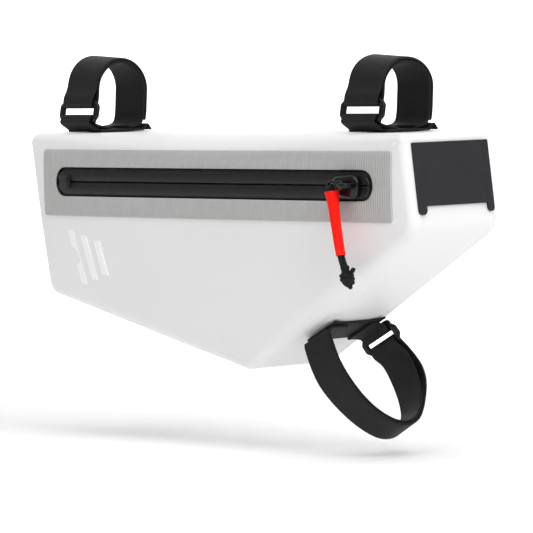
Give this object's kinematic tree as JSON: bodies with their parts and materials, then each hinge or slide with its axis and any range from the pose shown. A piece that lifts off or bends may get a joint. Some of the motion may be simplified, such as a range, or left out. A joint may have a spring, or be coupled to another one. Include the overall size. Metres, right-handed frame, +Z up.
{
  "type": "bicycle frame bag",
  "caption": "Wedge-shaped welded fabric bag hung in a bicycle frame by hook-and-loop straps, with a side zip with a sleeved cord pull and a cable-port flap.",
  "frame": {"origin": "middle of the top face, where the bicycle's top tube lies and the bag hangs", "axes": "+X along the bag towards the bicycle's head tube, +Y from the zip side to the far side, +Z up"},
  "size_m": [0.3117, 0.0835, 0.2056],
  "materials": {
    "white_coated_fabric": "smooth coated laminate",
    "grey_ribbed_fabric": "fine ribs",
    "black_tape": "coated, soft sheen",
    "black_webbing": "woven webbing",
    "black_plastic": "satin",
    "black_coated_metal": "gloss black",
    "red_sleeve": "satin tube",
    "black_cord": "braided cord"
  },
  "bodies": {
    "root": {"bag_body": "white_coated_fabric", "zip_surround": "grey_ribbed_fabric", "zip_tape_upper": "black_tape", "zip_tape_lower": "black_tape", "zip_end_pad": "black_tape", "zip_garage_rim": "black_tape", "slider_body": "black_coated_metal", "pull_tab": "black_coated_metal", "pull_cord": "black_cord", "pull_sleeve": "red_sleeve", "pull_knot": "black_cord", "port_flap": "black_tape", "tail_base": "black_webbing", "tail_strap": "black_webbing", "tail_ring": "black_plastic", "tail_tab": "black_webbing", "head_base": "black_webbing", "head_strap": "black_webbing", "head_ring": "black_plastic", "head_tab": "black_webbing", "lower_base": "black_webbing", "lower_strap": "black_webbing", "lower_ring": "black_plastic", "lower_tab": "black_webbing"}
  },
  "joints": []
}
